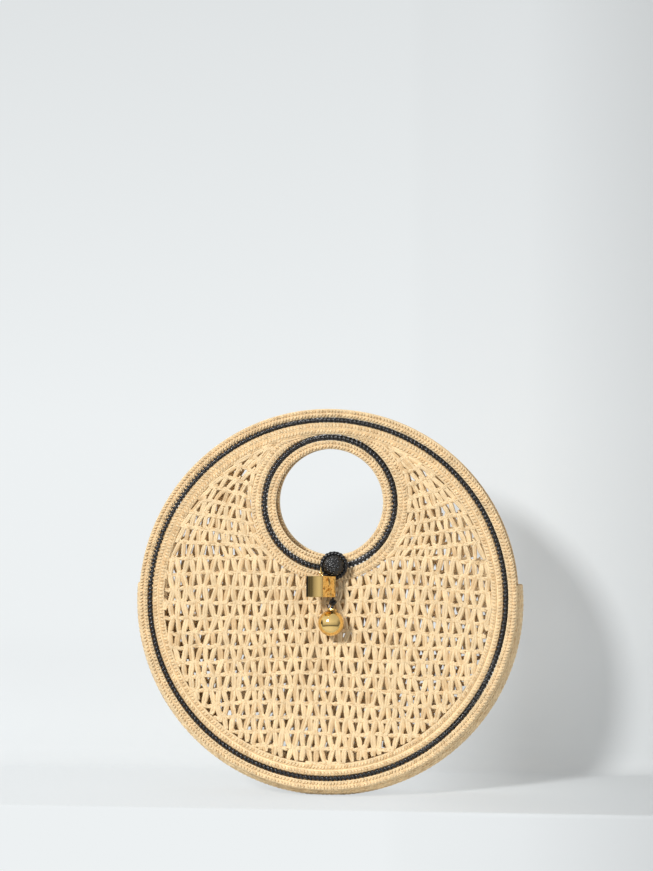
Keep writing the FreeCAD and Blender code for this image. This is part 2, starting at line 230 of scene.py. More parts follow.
def middle_of(node):
    low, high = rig.box(node)
    return (low + high) / 2


def half_width_of(node):
    low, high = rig.box(node)
    return (high.x - low.x) / 2


class Panel:
    """One disc of the bag: x runs to the right, up along the disc and out away from the bag."""

    def __init__(self, side):
        normal = Vector(JOINTS["ball_sway"]["axis"])
        self.side = side
        self.body = side + "_panel"
        self.hinge = Vector(JOINTS[side + "_open"]["pos_m"])
        self.seed = SEEDS[side]
        self.out = normal if side == "front" else Vector((0, -normal.y, normal.z))
        self.up = (Vector((0, 0, 1)) - self.out * self.out.z).normalized()
        self.middle = middle_of(side + "_rim_edge")
        self.rim = half_width_of(side + "_rim_edge")
        self.rim_stripe = half_width_of(side + "_rim_stripe")
        self.rim_inner = half_width_of(side + "_rim_inner")
        self.net = half_width_of(side + "_mesh_lower")
        self.handle_edge = half_width_of(side + "_handle_edge")
        self.handle_stripe = half_width_of(side + "_handle_stripe")
        self.surround = half_width_of(side + "_handle_surround")
        self.hole = self.handle_edge - HOLE_ROWS_WIDTH
        handle = middle_of(side + "_handle_edge") - self.middle
        self.handle = Vector((handle.x, handle.dot(self.up)))
        self.split = (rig.box(side + "_mesh_left")[0] - self.middle).dot(self.up)

    def point(self, x, up, out=0.0):
        return self.middle + Vector((x, 0, 0)) + self.up * up + self.out * out

    def local(self, place):
        """A place's x, height and distance out, in the disc's frame."""
        away = place - self.middle
        return away.x, away.dot(self.up), away.dot(self.out)

    def away(self, angle):
        """Direction in the disc at an angle from straight down towards the right."""
        return Vector((math.sin(angle), 0, 0)) - self.up * math.cos(angle)


PANELS = {side: Panel(side) for side in ("front", "back")}


# Properties


class BagYarnSettings(bpy.types.PropertyGroup):
    """Sizes of the yarn and of the stitches."""

    stitch_pitch: FloatProperty(name="Stitch pitch", description="Distance between stitches of the net",
                                default=13.2 * MM, unit="LENGTH")
    stitch_height: FloatProperty(name="Stitch height", description="Height of one row of the net",
                                 default=13.5 * MM, unit="LENGTH")
    strand_radius: FloatProperty(name="Strand radius", description="Radius of one strand of the net",
                                 default=1.86 * MM, unit="LENGTH")
    bar_width: FloatProperty(name="Bar width", description="Width of the bars between rows of the net",
                             default=5.2 * MM, unit="LENGTH")
    net_thickness: FloatProperty(name="Net thickness", description="Thickness of the net through the disc",
                                 default=4.0 * MM, unit="LENGTH")
    row_pitch: FloatProperty(name="Row pitch", description="Distance between stitches of the rims' rows",
                             default=3.1 * MM, unit="LENGTH")
    row_thickness: FloatProperty(name="Row thickness", description="Thickness of the rows through the disc",
                                 default=5.5 * MM, unit="LENGTH")
    gusset_rows: IntProperty(name="Gusset rows", description="Rows in each half of the gusset", default=5)


class BagFinishSettings(bpy.types.PropertyGroup):
    """Colours of the finishes."""

    raffia: FloatVectorProperty(name="Raffia", description="Natural raffia", subtype="COLOR",
                                default=(0.845, 0.655, 0.4))
    raffia_deep: FloatVectorProperty(name="Deep raffia", description="Darker strands of the natural raffia",
                                     subtype="COLOR", default=(0.75, 0.54, 0.3))
    black: FloatVectorProperty(name="Black yarn", description="Black raffia and cord", subtype="COLOR",
                               default=(0.006, 0.006, 0.007))
    gold: FloatVectorProperty(name="Gold", description="Polished gold", subtype="COLOR",
                              default=(0.83, 0.58, 0.22))
    # Painted shade: the hammered gold darkens to this tone where its bump sinks
    gold_deep: FloatVectorProperty(name="Hammered gold", description="Gold in the hammered dents", subtype="COLOR",
                                   default=(0.42, 0.19, 0.03))
    bead: FloatVectorProperty(name="Bead", description="Turned bead inside the button", subtype="COLOR",
                              default=(0.42, 0.27, 0.14))
    paper: FloatVectorProperty(name="Paper", description="Pale shelf and wall", subtype="COLOR",
                               default=(0.84, 0.87, 0.88))
    # Painted shade: the paper darkens to this tone to the right, away from the key light
    paper_far: FloatVectorProperty(name="Far paper", description="Shelf and wall away from the light",
                                   subtype="COLOR", default=(0.57, 0.59, 0.595))


class BagStageSettings(bpy.types.PropertyGroup):
    """Camera and stage."""

    distance: FloatProperty(name="Camera distance", description="From the bag's middle to the camera",
                            default=2.4, unit="LENGTH")
    azimuth: FloatProperty(name="Camera azimuth", description="Camera's turn to the right of the front",
                           default=math.radians(6.5), subtype="ANGLE")
    pixel_size: FloatProperty(name="Pixel size", description="Size of a pixel at the bag", default=0.94 * MM,
                              unit="LENGTH", precision=5)
    aim_column: FloatProperty(name="Aim column", description="Pixel column of the bag's middle", default=329.0)
    aim_row: FloatProperty(name="Aim row", description="Pixel row of the bag's middle", default=601.0)
    wall: FloatProperty(name="Wall", description="From the bag's middle to the wall", default=0.17, unit="LENGTH")
    shelf_edge: FloatProperty(name="Shelf edge", description="From the bag's middle to the shelf's front edge",
                              default=0.11, unit="LENGTH")


# Materials

# Tints across the fibres of a strand
FIBRE_STREAKS = [(0.3, (0.82, 0.73, 0.6)), (0.5, (0.97, 0.96, 0.94)), (0.7, (1, 1, 1))]

# Painted reflection on the polished gold: its painted dark edge in greys, and its painted reflected bands from there on
# as shares of its colour
GOLD_PAINTED_DARK_EDGE = [(0.0, 0.04), (0.08, 0.04)]
GOLD_PAINTED_REFLECTION_BANDS = [
    (0.11, 0.55), (0.16, 0.75), (0.2, 0.4), (0.25, 0.7), (0.32, 0.48), (0.4, 0.62), (0.47, 1.0), (0.8, 1.0), (0.9, 0.8),
]

# Paper's painted shade by height, darker on the floor and towards the top, and how far it glows with its own painted
# tone, by place across and by height
PAPER_ACROSS = {"From_Min": 0.06, "From_Max": 0.34}
PAPER_ABOVE = {"From_Min": -0.02, "From_Max": 0.8}
PAPER_SHADE = [(0.02, 1.0), (0.025, 0.92), (0.08, 0.95), (0.2, 1.0), (0.45, 1.0), (1.0, 0.87)]
GLOW_ACROSS = [(0.07, 0.95), (0.43, 0.42)]
GLOW_ABOVE = [(0.02, 1.0), (0.024, 0.78), (0.08, 0.78), (0.16, 1.0)]


def new_material(name):
    material = bpy.data.materials.new(name)
    material.use_nodes = True
    tree = material.node_tree
    return material, tree, tree.nodes["Principled BSDF"]


def feed(tree, node, **inputs):
    """Sets a node's sockets by name, each to a value or to the output that it is linked to."""
    for key, value in inputs.items():
        socket = node.inputs[key.replace("_", " ")]
        if isinstance(value, bpy.types.NodeSocket):
            tree.links.new(value, socket)
        else:
            socket.default_value = value
    return node


def add(tree, kind, **inputs):
    return feed(tree, tree.nodes.new("ShaderNode" + kind), **inputs)


def ramp(tree, source, stops):
    """Colour ramp from a value; stops are (place, colour)."""
    node = add(tree, "ValToRGB", Fac=source)
    for element, (place, colour) in zip(node.color_ramp.elements, (stops[0], stops[-1])):
        element.position = place
        element.color = (*colour, 1)
    for place, colour in stops[1:-1]:
        node.color_ramp.elements.new(place).color = (*colour, 1)
    return node.outputs["Color"]


def grey(value):
    return (value, value, value)


def grey_ramp(tree, source, stops):
    return ramp(tree, source, [(place, grey(value)) for place, value in stops])


def ranged(tree, value, **limits):
    """A value carried from one range to another."""
    return add(tree, "MapRange", Value=value, **limits).outputs["Result"]


def combined(tree, operation, first, second):
    node = add(tree, "Math")
    node.operation = operation
    tree.links.new(first, node.inputs[0])
    tree.links.new(second, node.inputs[1])
    return node.outputs["Value"]


def multiplied(tree, first, second):
    """One colour times another."""
    mix = add(tree, "Mix")
    mix.data_type = "RGBA"
    mix.blend_type = "MULTIPLY"
    mix.inputs["Factor"].default_value = 1.0
    tree.links.new(first, mix.inputs[6])
    tree.links.new(second, mix.inputs[7])
    return mix.outputs[2]


def mixed(tree, share, first, second):
    """The first shader where the share is 0, the second where it is 1."""
    mix = add(tree, "MixShader", Fac=share)
    tree.links.new(first, mix.inputs[1])
    tree.links.new(second, mix.inputs[2])
    return mix.outputs["Shader"]


def scaled_noise(tree, space, scale, detail, stretch=(1, 1, 1)):
    """Noise on stretched coordinates, Object or UV."""
    coords = add(tree, "TexCoord")
    mapping = add(tree, "Mapping", Vector=coords.outputs[space], Scale=stretch)
    return add(tree, "TexNoise", Vector=mapping.outputs["Vector"], Scale=scale, Detail=detail).outputs["Fac"]


def bump(tree, height, strength, distance):
    return add(tree, "Bump", Height=height, Strength=strength, Distance=distance).outputs["Normal"]


def shaded(colour, factor):
    return tuple(min(1.0, channel * factor) for channel in colour)


def yarn_material(name, colour, roughness, gloss):
    """Yarn with fibres along each strand and slow changes of tone."""
    material, tree, shader = new_material(name)
    tone = scaled_noise(tree, "Object", scale=130, detail=2)
    fibre = scaled_noise(tree, "UV", scale=7, detail=3, stretch=(0.35, 3.2, 1))
    base = ramp(tree, tone, [(0.32, shaded(colour, 0.9)), (0.68, shaded(colour, 1.07))])
    feed(tree, shader, Base_Color=multiplied(tree, base, ramp(tree, fibre, FIBRE_STREAKS)),
         Roughness=ranged(tree, fibre, From_Min=0.3, From_Max=0.7, To_Min=roughness + 0.1, To_Max=roughness - 0.08),
         Specular_IOR_Level=gloss, Normal=bump(tree, fibre, strength=0.6, distance=0.35 * MM))
    return material


def gold_material(name, colour, deep, roughness, dent):
    """Gold with faint brushing; where its bump sinks it darkens to the deep tone, painted shade in the hollows; dent is
    the depth of the hammering.
    """
    material, tree, shader = new_material(name)
    broad = scaled_noise(tree, "Object", scale=420, detail=2)
    fine = scaled_noise(tree, "Object", scale=2600, detail=2)
    feed(tree, shader, Base_Color=ramp(tree, broad, [(0.36, deep), (0.48, colour)]), Metallic=1.0,
         Roughness=ranged(tree, fine, To_Min=roughness * 0.7, To_Max=roughness * 1.4),
         Normal=bump(tree, broad, strength=0.5, distance=dent))
    return material


def painted_reflection_gold_material(name, colour):
    """Polished gold with a painted reflection: a dark edge, then lighter and darker bands, along the mesh's own shade
    attribute.
    """
    material, tree, shader = new_material(name)
    shade = add(tree, "Attribute")
    shade.attribute_name = "shade"
    # Painted reflection: a dark edge first, then light and dark bands of gold
    bands = [(place, grey(value)) for place, value in GOLD_PAINTED_DARK_EDGE]
    bands += [(place, shaded(colour, share)) for place, share in GOLD_PAINTED_REFLECTION_BANDS]
    feed(tree, shader, Base_Color=ramp(tree, shade.outputs["Fac"], bands), Metallic=1.0, Roughness=0.12)
    return material


def wood_material(name, colour):
    material, tree, shader = new_material(name)
    grain = scaled_noise(tree, "Object", scale=300, detail=4, stretch=(1, 1, 6))
    feed(tree, shader, Base_Color=ramp(tree, grain, [(0.35, shaded(colour, 0.6)), (0.65, colour)]), Roughness=0.5)
    return material


def seen_directly(tree):
    """1 for rays from the camera and in reflections, 0 for light that bounces."""
    path = add(tree, "LightPath").outputs
    shining = combined(tree, "MAXIMUM", path["Is Glossy Ray"], path["Is Transmission Ray"])
    return combined(tree, "MAXIMUM", path["Is Camera Ray"], shining)


def one_sided(tree, shader):
    """The shader on the front of the faces and nothing on their back, so that a backdrop hides nothing."""
    back = add(tree, "NewGeometry").outputs["Backfacing"]
    return mixed(tree, back, shader, add(tree, "BsdfTransparent").outputs["BSDF"])


def paper_material(name, near, far):
    """Pale paper with painted shade, darker to the right and by height: it keeps the real shadow, and glows with that
    tone to the camera and in reflections.
    """
    material, tree, shader = new_material(name)
    axes = add(tree, "SeparateXYZ", Vector=add(tree, "TexCoord").outputs["Object"])
    across = ranged(tree, axes.outputs["X"], **PAPER_ACROSS)
    above = ranged(tree, axes.outputs["Z"], **PAPER_ABOVE)
    # Painted shade: the tone darkens across from near to far, and by height as the painted paper shade gives
    tone = multiplied(tree, ramp(tree, across, [(0.0, near), (1.0, far)]), grey_ramp(tree, above, PAPER_SHADE))
    feed(tree, shader, Base_Color=tone, Roughness=0.9)
    glow = add(tree, "Emission", Color=tone)
    share = multiplied(tree, grey_ramp(tree, across, GLOW_ACROSS), grey_ramp(tree, above, GLOW_ABOVE))
    share = combined(tree, "MULTIPLY", seen_directly(tree), share)
    front = one_sided(tree, mixed(tree, share, shader.outputs["BSDF"], glow.outputs["Emission"]))
    feed(tree, tree.nodes["Material Output"], Surface=front)
    return material


def finish(name):
    """The material of that name, made at its first use."""
    if name in bpy.data.materials:
        return bpy.data.materials[name]
    tones = bpy.context.scene.bag_finish
    raffia, black, gold = tuple(tones.raffia), tuple(tones.black), tuple(tones.gold)
    makers = {
        "raffia_pale": (yarn_material, shaded(raffia, 1.08), 0.5, 0.4),
        "raffia_middle": (yarn_material, raffia, 0.52, 0.4),
        "raffia_deep": (yarn_material, tuple(tones.raffia_deep), 0.55, 0.4),
        "black_raffia": (yarn_material, black, 0.27, 0.65),
        "black_cord": (yarn_material, black, 0.27, 0.65),
        "polished_gold": (gold_material, gold, gold, 0.1, 0.01 * MM),
        "banded_gold": (painted_reflection_gold_material, gold),
        "hammered_gold": (gold_material, gold, tuple(tones.gold_deep), 0.2, 0.5 * MM),
        "turned_bead": (wood_material, tuple(tones.bead)),
        "pale_paper": (paper_material, tuple(tones.paper), tuple(tones.paper_far)),
    }
    maker, *values = makers[name]
    return maker(name, *values)


# Pieces

# Shades of each yarn and how often each is picked
YARNS = {
    "raffia": (("raffia_pale", "raffia_middle", "raffia_deep"), (3, 5, 2)),
    "black_raffia": (("black_raffia",), (1,)),
    "black_cord": (("black_cord",), (1,)),
}


def link(name, data):
    made = bpy.data.objects.new(name, data)
    bpy.context.scene.collection.objects.link(made)
    return made


def from_bmesh(name, work, *materials):
    """Object from a finished bmesh, with smooth faces."""
    for face in work.faces:
        face.smooth = True
    mesh = bpy.data.meshes.new(name)
    work.to_mesh(mesh)
    work.free()
    for material in materials:
        mesh.materials.append(finish(material))
    return link(name, mesh)


def turn_to(work, face, way):
    """Turns an open sheet so that one of its faces looks a given way."""
    work.normal_update()
    bmesh.ops.recalc_face_normals(work, faces=work.faces)
    if face.normal.dot(Vector(way)) < 0:
        bmesh.ops.reverse_faces(work, faces=work.faces)


def put(piece, body, slot, node):
    """Fixes a finished piece to its body, its slot and the solid that it stands for."""
    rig.ride(piece, body)
    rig.slot(piece, slot)
    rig.replaces(piece, node)
    return piece


def paint(node, material):
    """Gives a solid of the frame its finish."""
    solid = frame["nodes"][node]
    if not solid.material_slots:
        solid.data.materials.append(None)
    for slot in solid.material_slots:
        slot.material = finish(material)


def round_curve(name, radius, resolution, *materials):
    """Curve data for round strands, with closed ends."""
    data = bpy.data.curves.new(name, "CURVE")
    data.dimensions = "3D"
    data.bevel_depth = radius
    data.bevel_resolution = resolution
    data.use_fill_caps = True
    for material in materials:
        data.materials.append(finish(material))
    return data


def yarn(name, strands, kind):
    """Mesh of round strands, each in one of the yarn's shades; a strand is its (place, radius) points and closed."""
    shades, shares = YARNS[kind]
    data = round_curve(name, 1.0, 1, *shades)
    picks = random.Random(name).choices(range(len(shades)), shares, k=len(strands))
    for (points, closed), pick in zip(strands, picks):
        spline = data.splines.new("POLY")
        spline.points.add(len(points) - 1)
        spline.points.foreach_set("co", [value for place, radius in points for value in (*place, 1.0)])
        spline.points.foreach_set("radius", [radius for place, radius in points])
        spline.use_cyclic_u = closed
        spline.material_index = pick
    curve = link(name, data)
    graph = bpy.context.evaluated_depsgraph_get()
    mesh = bpy.data.meshes.new_from_object(curve.evaluated_get(graph))
    bpy.data.objects.remove(curve)
    bpy.data.curves.remove(data)
    mesh.name = name
    return link(name, mesh)


# Rows of crochet

# Points round a row, half width under which it has no stitches, and strands that fill it, as shares of its half width
RING_STEPS = 120
LEAST_HALF_ROW = 0.3 * MM
ROW_FILL = (-0.62, 0.0, 0.62)

# How much wider a black row is than its share of the rim
STRIPE_SPREAD = 1.14

# Stitches of each kind of row. Their legs run across from one share of the row's half width to another; grain, a
# strand's radius, and loose, its greatest shift across, are shares of it too.
ROW_LEGS = ([(0.6, -0.6)], [(-0.6, 0.6)])
ROW_STITCHES = {"length": 1.5 * MM, "grain": 0.56}
STRIPE_STITCHES = {"legs": [(-0.72, 0.72)], "pitch": 4.0 * MM, "length": 2.8 * MM, "grain": 0.52}
BAR_STITCHES = {"legs": [(0.05, 0.5), (-0.05, -0.5)], "pitch": 4.6 * MM, "length": 5.4 * MM, "grain": 0.55,
                "faces": (1,), "loose": 0.25}
GUSSET_STITCHES = {"legs": [(0.08, 0.66), (-0.08, -0.66)], "pitch": 4.4 * MM, "length": 6.2 * MM, "grain": 0.46,
                   "faces": (1,)}


def strand(at, steps, closed=False):
    """Strand through the (place, radius) that at gives for even shares of its length."""
    return [at(step / steps) for step in range(steps if closed else steps + 1)], closed


class Track:
    """Middle line of a row: at(share) gives a place, the directions across and out, and half the row's width."""

    def __init__(self, at, closed):
        self.at = at
        self.closed = closed
        places = [at(i / 80)[0] for i in range(81)]
        self.length = sum((end - start).length for start, end in zip(places, places[1:]))


def ring_track(panel, x, up, radius, half, lift=0.0):
    """Circle in a disc."""
    centre = panel.point(x, up, lift)

    def at(share):
        across = panel.away(FULL_TURN * share)
        return centre + across * radius, across, panel.out, half
    return Track(at, True)


def line_track(start, end, across, out, half, sag=0.0):
    """Line that dips in its middle by the sag."""
    def at(share):
        return start.lerp(end, share) - across * sag * math.sin(math.pi * share), across, out, half
    return Track(at, False)


def surround_track(panel, row, rows):
    """Row round the handle's stripe, which narrows where the stripe nears the rim."""
    inner = panel.handle_stripe + ROW_GAP
    width = panel.surround - inner

    def at(share):
        angle = FULL_TURN * share - math.pi
        away = Vector((math.sin(angle), -math.cos(angle)))
        along = panel.handle.dot(away)
        reach = math.sqrt(along ** 2 - panel.handle.length_squared + panel.net ** 2) - along
        room = max(0.02 * MM, min(width, reach - inner))
        across = panel.away(angle)
        place = panel.point(*panel.handle) + across * (inner + (row + 0.5) / rows * room)
        return place, across, panel.out, room / (2 * rows)
    return Track(at, True)


def rope(track, turns, plies, radius, rng, steps=8, loose=0.08):
    """Plies wound round a track inside its half width."""
    def wound(ply):
        def at(share):
            place, across, out, half = track.at(share)
            turn = FULL_TURN * (ply / plies + turns * share)
            reach = (half - radius) * (1 + rng.uniform(-loose, loose))
            return place + (across * math.cos(turn) + out * math.sin(turn)) * reach, radius
        return strand(at, max(2, round(turns * steps)), track.closed)
    return [wound(ply) for ply in range(plies)]


def core(track, steps, radius, sideways=(0.0,)):
    """Plain strands side by side that fill a row; the radius and the places across are shares of its half width."""
    def laid(aside):
        def at(share):
            place, across, out, half = track.at(share)
            return place + across * half * aside, half * radius
        return strand(at, steps, track.closed)
    return [laid(aside) for aside in sideways]


def stitches(track, rng, thickness, legs, pitch, length, grain, faces=(1, -1), loose=0.06):
    """Short swelling strands along a row."""
    count = max(3, round(track.length / pitch))
    reach = length / track.length / 2

    def laid(middle, aside, face, start, end):
        def at(part):
            swell = math.sin(math.pi * part)
            share = middle + (2 * part - 1) * reach
            if not track.closed:
                share = min(1.0, max(0.0, share))
            place, across, out, half = track.at(share)
            radius = half * grain
            height = face * max(0.0, thickness / 2 - radius) * (0.7 + 0.3 * swell)
            place = place + across * (half * (aside + start + (end - start) * part)) + out * height
            return place, radius * (0.52 + 0.48 * swell)
        return strand(at, 4)

    strands = []
    for i in range(count):
        middle = (i + 0.5 + rng.uniform(-0.12, 0.12)) / count
        if track.at(middle)[3] < LEAST_HALF_ROW:
            continue
        aside = rng.uniform(-loose, loose)
        strands += [laid(middle, aside, face, *leg) for face in faces for leg in legs]
    return strands


class BAG_OT_rows(bpy.types.Operator):
    """Crocheted rows round the rims and the hand holes"""

    bl_idname = "bag.rows"
    bl_label = "Rim and handle rows"

    def execute(self, context):
        for panel in PANELS.values():
            rng = random.Random(panel.seed)
            handle = panel.handle
            bands = {
                "rim_edge": self.rings(panel, 0, 0, panel.rim_stripe + ROW_GAP, panel.rim, 2),
                "rim_stripe": self.rings(panel, 0, 0, panel.rim_inner, panel.rim_stripe, 1, STRIPE_SPREAD),
                "rim_inner": self.rings(panel, 0, 0, panel.net + ROW_GAP, panel.rim_inner, 2),
                "handle_edge": self.rings(panel, *handle, panel.hole, panel.handle_edge, 2),
                "handle_stripe": self.rings(panel, *handle, panel.handle_edge, panel.handle_stripe, 1, STRIPE_SPREAD),
                "handle_surround": [surround_track(panel, row, 2) for row in range(2)],
            }
            for band, tracks in bands.items():
                self.band(context.scene.bag_yarn, panel, band, tracks, rng)
        return {"FINISHED"}

    def rings(self, panel, x, up, inner, outer, rows, spread=1.0):
        """Tracks of the rows between two radii, each wider than its share by the spread."""
        width = (outer - inner) / rows
        return [ring_track(panel, x, up, inner + (row + 0.5) * width, spread * width / 2) for row in range(rows)]

    def band(self, sizes, panel, band, tracks, rng):
        node = panel.side + "_" + band
        black = band.endswith("stripe")
        strands = []
        for row, track in enumerate(tracks):
            if black:
                strands += core(track, RING_STEPS, 0.5)
                strands += stitches(track, rng, sizes.row_thickness, **STRIPE_STITCHES)
            else:
                strands += core(track, RING_STEPS, 0.55, ROW_FILL)
                strands += stitches(track, rng, sizes.row_thickness, ROW_LEGS[row % 2], sizes.row_pitch, **ROW_STITCHES)
        piece = yarn(node + "_rows", strands, "black_raffia" if black else "raffia")
        put(piece, panel.body, "raffia_black" if black else "raffia", node)


# Openwork nets

# How far a leg runs on past its knot and past the bar at its foot
LEG_OVER_KNOT = 1.2 * MM
LEG_OVER_BAR = 0.8 * MM

# Least and greatest distance of a stitch's tops and of its feet from its middle, as shares of the pitch
TOPS_APART = (0.12, 0.16)
FEET_APART = (0.31, 0.37)

# How far a bar runs on past its stitch, as a share of the pitch
BAR_OVERLAP = 0.03

# Shift of the back net's stitches against the front's, as a share of the pitch, so that they don't line up
BACK_SHIFT = 0.3

# How slim a wing's strands are, the strands that fan out at its tip, and the share of its length where they start
WING_SLIM = 0.84
WING_FAN = 4
WING_TIP = 0.82


class NetMaker:
    """Collects the strands of one piece of net, in the disc's frame."""

    def __init__(self, panel, rng, slim=1.0):
        self.panel = panel
        self.rng = rng
        self.sizes = bpy.context.scene.bag_yarn
        self.strand_radius = slim * self.sizes.strand_radius
        self.strands = []

    def inside(self, x, up, margin=0.0):
        panel = self.panel
        handle = math.hypot(x - panel.handle.x, up - panel.handle.y)
        return math.hypot(x, up) < panel.net - margin and handle > panel.surround + margin

    def clipped(self, start, end):
        """The part of a straight stretch that lies in the net, or None."""
        shares = [i / 12 for i in range(13)]
        kept = [share for share in shares if self.inside(*start.lerp(end, share))]
        if not kept or kept[-1] - kept[0] < 0.25:
            return None
        return start.lerp(end, kept[0]), start.lerp(end, kept[-1])

    def leg(self, top, foot):
        """Leaf-shaped leg of a stitch: two strands side by side that swell in the middle."""
        along = (foot - top).normalized()
        across = Vector((-along.y, along.x))
        span = self.clipped(top - along * LEG_OVER_KNOT, foot + along * LEG_OVER_BAR)
        if span is None:
            return
        lift = self.rng.uniform(0.0, 0.7) * MM
        radius = self.strand_radius * self.rng.uniform(0.9, 1.08)
        twist = self.rng.uniform(-0.9, 0.9)
        bow = self.rng.uniform(-0.7, 0.7) * MM

        def beside(side):
            def at(share):
                swell = math.sin(math.pi * share)
                turn = twist * (share - 0.5)
                spread = side * radius * (0.38 + 0.2 * swell)
                flat = span[0].lerp(span[1], share) + across * (spread * math.cos(turn) + bow * swell)
                place = self.panel.point(*flat, spread * math.sin(turn) + lift * (1 - swell))
                return place, radius * (0.62 + 0.38 * swell)
            return strand(at, 4)
        self.strands += [beside(-1), beside(1)]

    def knot(self, place):
        """Two crossed strands over the top of a stitch."""
        if not self.inside(place.x, place.y, 1.0 * MM):
            return
        radius = 0.34 * self.sizes.net_thickness
        for slant in (self.rng.uniform(0.5, 1.1), self.rng.uniform(-1.1, -0.5)):
            reach = Vector((math.cos(slant), math.sin(slant))) * self.rng.uniform(3.6, 5.0) * MM

            def at(share):
                part = 2 * share - 1
                out = self.sizes.net_thickness / 2 - radius - 0.6 * MM * part ** 2
                return self.panel.point(*(place + reach * part), out), radius * (1 - 0.35 * part ** 2)
            self.strands.append(strand(at, 4))

    def bar(self, start, end):
        """Chain between two rows of stitches."""
        span = self.clipped(start, end)
        if span is None:
            return
        start, end = span
        along = (end - start).normalized()
        across = self.panel.up * along.x - Vector((along.y, 0, 0))
        track = line_track(self.panel.point(*start), self.panel.point(*end), across, self.panel.out,
                           self.sizes.bar_width / 2, self.rng.uniform(0.2, 1.5) * MM)
        self.strands += core(track, 2, 0.5)
        self.strands += stitches(track, self.rng, self.sizes.net_thickness, **BAR_STITCHES)

    def stitch(self, apex, left_foot, right_foot):
        """Lambda-shaped stitch with its tops side by side under the knot."""
        way = (right_foot - left_foot).normalized()
        apart = self.sizes.stitch_pitch * self.rng.uniform(*TOPS_APART)
        self.leg(apex - way * apart, left_foot)
        self.leg(apex + way * apart, right_foot)
        self.knot(apex)


def lower_net(panel, rng, shift):
    """Wavy level rows below the hand hole, as the strands of their upper and of their lower part."""
    net = NetMaker(panel, rng)
    parts = []
    pitch, height = net.sizes.stitch_pitch, net.sizes.stitch_height
    columns = int(panel.net / pitch) + 1
    rows = int((panel.net + panel.split) / height) + 1
    phase = rng.uniform(0, FULL_TURN)

    def spot(x, row):
        """Place on the bar above a row."""
        wave = 1.3 * math.sin(x / (34 * MM) + 0.4 * row + phase) + 0.6 * math.sin(x / (13 * MM) + 1.9 * row)
        droop = 4.0 * (x / panel.net) ** 4
        return Vector((x, panel.split - row * height + (wave - droop) * MM))

    for row in range(rows):
        for column in range(-columns, columns + 1):
            x = panel.handle.x + (column + shift + 0.5 * (row % 2)) * pitch
            apex = spot(x + rng.uniform(-0.13, 0.13) * pitch, row)
            feet = [x + side * pitch * rng.uniform(*FEET_APART) for side in (-1, 1)]
            net.stitch(apex, *(spot(foot, row + 1) for foot in feet))
            net.bar(spot(x - BAR_OVERLAP * pitch, row), spot(x + (1 + BAR_OVERLAP) * pitch, row))
        if row in (rows // 3, rows - 1):
            parts.append(net.strands)
            net.strands = []
    return parts


def wing_net(panel, rng, side):
    """Rows across the crescent between the hand hole and the rim, fewer stitches towards its tip."""
    net = NetMaker(panel, rng, WING_SLIM)
    inner_radius = panel.surround
    centre = panel.handle.length
    inner_start = math.acos((panel.handle.y - panel.split) / inner_radius)
    tip = math.acos((centre ** 2 + inner_radius ** 2 - panel.net ** 2) / (2 * centre * inner_radius))
    outer_start = math.acos(panel.split / panel.net)
    outer_tip = math.atan2(inner_radius * math.sin(tip), panel.handle.y - inner_radius * math.cos(tip))
    length = ((tip - inner_start) * inner_radius + (outer_start - outer_tip) * panel.net) / 2
    rows = int(length / net.sizes.stitch_height)

    def ends(share):
        turn = inner_start + (tip - inner_start) * share
        inner = panel.handle + Vector((side * math.sin(turn), -math.cos(turn))) * inner_radius
        turn = outer_start + (outer_tip - outer_start) * share
        return inner, Vector((side * math.sin(turn), math.cos(turn))) * panel.net

    def fanned(across):
        def at(share):
            inner, outer = ends(WING_TIP + (1 - WING_TIP) * share)
            radius = min(net.sizes.net_thickness / 2, 0.34 * (outer - inner).length / WING_FAN)
            return panel.point(*inner.lerp(outer, across)), max(0.3 * MM, radius)
        return strand(at, 8)

    for row in range(rows):
        low_inner, low_outer = ends(row / rows)
        inner, outer = ends((row + 1) / rows)
        count = max(1, round((low_outer - low_inner).length / net.sizes.stitch_pitch))
        for column in range(count):
            share = (column + 0.5 + rng.uniform(-0.08, 0.08)) / count
            feet = [share + step * rng.uniform(*FEET_APART) / count for step in (-1, 1)]
            net.stitch(inner.lerp(outer, share), *(low_inner.lerp(low_outer, foot) for foot in feet))
        net.bar(inner, outer)
    return net.strands + [fanned((i + 0.5) / WING_FAN) for i in range(WING_FAN)]


class BAG_OT_nets(bpy.types.Operator):
    """Openwork nets of the two discs"""

    bl_idname = "bag.nets"
    bl_label = "Openwork nets"

    def execute(self, context):
        for panel in PANELS.values():
            rng = random.Random(panel.seed + SEEDS["nets"])
            upper, lower = lower_net(panel, rng, 0.0 if panel.side == "front" else BACK_SHIFT)
            pieces = [
                ("mesh_lower", "upper_rows", upper),
                ("mesh_lower", "lower_rows", lower),
                ("mesh_left", "stitches", wing_net(panel, rng, -1)),
                ("mesh_right", "stitches", wing_net(panel, rng, 1)),
            ]
            for part, label, strands in pieces:
                node = panel.side + "_" + part
                put(yarn(node + "_" + label, strands, "raffia"), panel.body, "raffia", node)
        return {"FINISHED"}


# Gusset

# How deep the rows and the sheet under them lie in the strip, and their thicknesses
GUSSET_ROW_DEPTH = 1.0 * MM
GUSSET_ROW_THICKNESS = 3.4 * MM
GUSSET_SHEET_DEPTH = 1.9 * MM
GUSSET_SHEET_THICKNESS = 1.6 * MM


